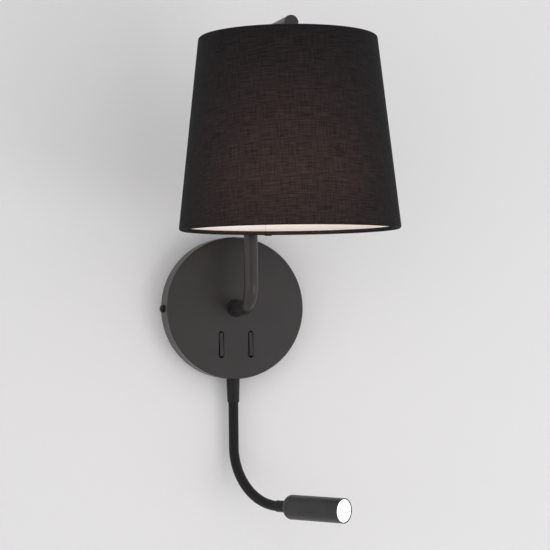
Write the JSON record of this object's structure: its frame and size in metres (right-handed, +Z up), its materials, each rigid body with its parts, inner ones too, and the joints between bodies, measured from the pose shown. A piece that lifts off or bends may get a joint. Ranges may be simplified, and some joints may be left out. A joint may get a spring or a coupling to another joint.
{
  "type": "bedside wall reading lamp",
  "caption": "Wall lamp with a round canopy, a bent tube arm holding a tapered fabric shade, rocker switches and a flexible neck with a small spot head.",
  "frame": {"origin": "centre of the canopy's rim on the wall, midway between the bracket's two screw slots", "axes": "+Y into the wall, +Z up, +X to the right as one faces the wall"},
  "size_m": [0.18, 0.2665, 0.4188],
  "materials": {
    "powder_coat": "matt black powder coat on steel",
    "powder_coat_alloy": "matt black powder coat on turned aluminium",
    "zinc_steel": "zinc-plated steel",
    "black_steel": "blackened steel",
    "brass": "bright brass",
    "white_plastic": "matt moulded plastic",
    "holder_plastic": "semi-gloss moulded plastic",
    "lamp_cap_metal": "bright pressed metal",
    "lamp_plastic": "matt moulded plastic",
    "shade_textile": "tightly woven cotton blend",
    "shade_film": "satin film",
    "white_wire": "white-coated steel wire",
    "gooseneck_steel": "steel spiral hose under a fine black braided sleeve",
    "bare_aluminium": "turned aluminium",
    "switch_plastic": "fine-textured moulded plastic",
    "lamp_opal": "opal, satin",
    "lens_clear": "clear moulded optic",
    "led_phosphor": "silicone-potted light source"
  },
  "bodies": {
    "root": {"wall_bracket": "zinc_steel", "canopy": "powder_coat", "canopy_side_screws": "black_steel", "earth_screw": "brass", "terminal_block": "white_plastic", "led_driver": "white_plastic", "arm_tube": "powder_coat", "arm_collar": "powder_coat", "arm_nipple": "zinc_steel", "arm_lock_washer": "zinc_steel", "arm_lock_nut": "zinc_steel", "arm_end_cap": "powder_coat", "holder_nipple": "zinc_steel", "lampholder_cap": "holder_plastic", "lampholder_body": "holder_plastic", "lampholder_core": "holder_plastic", "lampholder_shell": "brass", "lampholder_contact": "brass", "lamp_cap": "lamp_cap_metal", "lamp_body": "lamp_plastic", "lamp_globe": "lamp_opal", "shade_fabric": "shade_textile", "shade_lining": "shade_film", "shade_spider": "white_wire", "shade_bottom_ring": "white_wire", "shade_ring_nut": "holder_plastic", "gooseneck_ferrule": "powder_coat", "gooseneck_base_nut": "zinc_steel", "gooseneck_root": "gooseneck_steel", "switch_left_housing": "switch_plastic", "switch_left_pin": "zinc_steel", "switch_left_terminals": "brass", "switch_right_housing": "switch_plastic", "switch_right_pin": "zinc_steel", "switch_right_terminals": "brass"},
    "neck_01": {"gooseneck_link_01": "gooseneck_steel"},
    "neck_02": {"gooseneck_link_02": "gooseneck_steel"},
    "neck_03": {"gooseneck_link_03": "gooseneck_steel"},
    "neck_04": {"gooseneck_link_04": "gooseneck_steel"},
    "neck_05": {"gooseneck_link_05": "gooseneck_steel"},
    "neck_06": {"gooseneck_link_06": "gooseneck_steel"},
    "neck_07": {"gooseneck_link_07": "gooseneck_steel"},
    "neck_08": {"gooseneck_link_08": "gooseneck_steel"},
    "neck_09": {"gooseneck_link_09": "gooseneck_steel"},
    "head": {"gooseneck_link_10": "gooseneck_steel", "head_cuff": "powder_coat_alloy", "head_body": "powder_coat_alloy", "head_nut": "zinc_steel", "head_heatsink": "bare_aluminium", "led_board": "white_plastic", "led_chip": "led_phosphor", "head_lens_holder": "white_plastic", "head_lens": "lens_clear"},
    "rocker_left": {"switch_left_rocker": "switch_plastic"},
    "rocker_right": {"switch_right_rocker": "switch_plastic"}
  },
  "joints": [
    {"name": "neck_bend_1", "type": "hinge", "parent": "root", "child": "neck_01", "pos_m": [0, -0.0095, -0.082], "axis": [-0.848, -0.5299, 0], "range_deg": [-17, 10]},
    {"name": "neck_sway_1", "type": "hinge", "parent": "neck_01", "child": "neck_02", "pos_m": [0, -0.0095, -0.09583], "axis": [0.5299, -0.848, 0], "range_deg": [-14.4, 9.6]},
    {"name": "neck_bend_2", "type": "hinge", "parent": "neck_02", "child": "neck_03", "pos_m": [0, -0.0095, -0.10967], "axis": [-0.848, -0.5299, 0], "range_deg": [-17, 10]},
    {"name": "neck_sway_2", "type": "hinge", "parent": "neck_03", "child": "neck_04", "pos_m": [0, -0.0095, -0.1235], "axis": [0.5299, -0.848, 0], "range_deg": [-14.4, 9.6]},
    {"name": "neck_bend_3", "type": "hinge", "parent": "neck_04", "child": "neck_05", "pos_m": [0.00066, -0.01056, -0.13463], "axis": [-0.848, -0.5299, 0], "range_deg": [-17, 10]},
    {"name": "neck_sway_3", "type": "hinge", "parent": "neck_05", "child": "neck_06", "pos_m": [0.00262, -0.0137, -0.14519], "axis": [0.4774, -0.7641, 0.4339], "range_deg": [-14.4, 9.6]},
    {"name": "neck_bend_4", "type": "hinge", "parent": "neck_06", "child": "neck_07", "pos_m": [0.00578, -0.01875, -0.15467], "axis": [-0.848, -0.5299, 0], "range_deg": [-17, 10]},
    {"name": "neck_sway_4", "type": "hinge", "parent": "neck_07", "child": "neck_08", "pos_m": [0.00998, -0.02546, -0.16259], "axis": [0.3304, -0.5287, 0.7818], "range_deg": [-14.4, 9.6]},
    {"name": "neck_bend_5", "type": "hinge", "parent": "neck_08", "child": "neck_09", "pos_m": [0.015, -0.0335, -0.16855], "axis": [-0.848, -0.5299, 0], "range_deg": [-17, 10]},
    {"name": "neck_sway_5", "type": "hinge", "parent": "neck_09", "child": "head", "pos_m": [0.0206, -0.04247, -0.17225], "axis": [0.1179, -0.1887, 0.9749], "range_deg": [-14.4, 9.6]},
    {"name": "rocker_left_tilt", "type": "hinge", "parent": "root", "child": "rocker_left", "pos_m": [-0.0136, -0.0165, -0.0324], "axis": [1, 0, 0], "range_deg": [0, 10]},
    {"name": "rocker_right_tilt", "type": "hinge", "parent": "root", "child": "rocker_right", "pos_m": [0.0136, -0.0165, -0.0324], "axis": [1, 0, 0], "range_deg": [0, 10]}
  ],
  "couplings": [
    {"joint": "neck_bend_2", "follows": "neck_bend_1", "ratio": 1},
    {"joint": "neck_sway_2", "follows": "neck_sway_1", "ratio": 1},
    {"joint": "neck_bend_3", "follows": "neck_bend_1", "ratio": 1},
    {"joint": "neck_sway_3", "follows": "neck_sway_1", "ratio": 1},
    {"joint": "neck_bend_4", "follows": "neck_bend_1", "ratio": 1},
    {"joint": "neck_sway_4", "follows": "neck_sway_1", "ratio": 1},
    {"joint": "neck_bend_5", "follows": "neck_bend_1", "ratio": 1},
    {"joint": "neck_sway_5", "follows": "neck_sway_1", "ratio": 1}
  ]
}
